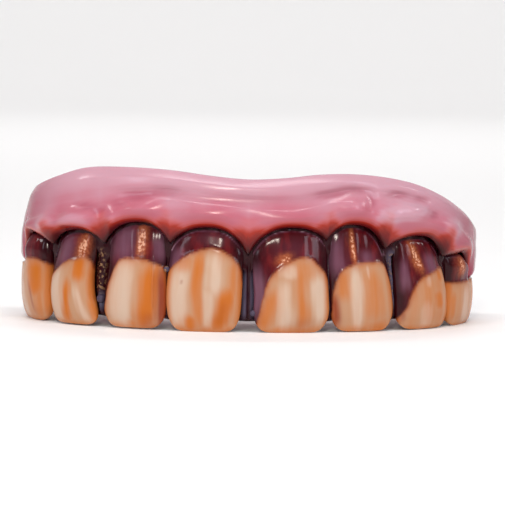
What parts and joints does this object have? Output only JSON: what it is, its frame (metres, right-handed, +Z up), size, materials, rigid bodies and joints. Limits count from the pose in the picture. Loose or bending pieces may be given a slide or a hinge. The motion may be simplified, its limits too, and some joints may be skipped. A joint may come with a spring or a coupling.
{
  "type": "costume teeth",
  "caption": "Rigid costume teeth for the upper jaw: scalloped pink gum over stained teeth, dark roots and gaps, and an open channel behind for the wearer's own teeth.",
  "frame": {"origin": "middle of the bounding box in plan, at the height of the biting edges that the set stands on", "axes": "+Z up from the biting edges to the gum's rim, the teeth face -Y, +X to the viewer's right, the open back of the arch faces +Y"},
  "size_m": [0.0662, 0.0292, 0.0221],
  "materials": {
    "gum": "glossy pink acrylic, polished",
    "lacquer": "glossy dark plum lacquer over acrylic",
    "tooth": "cream acrylic with orange stain, clear gloss, roots in dark plum lacquer"
  },
  "bodies": {
    "root": {"gum": "gum", "web": "lacquer", "tooth_1": "tooth", "tooth_2": "tooth", "tooth_3": "tooth", "tooth_4": "tooth", "tooth_5": "tooth", "tooth_6": "tooth", "tooth_7": "tooth", "tooth_8": "tooth"}
  },
  "joints": []
}
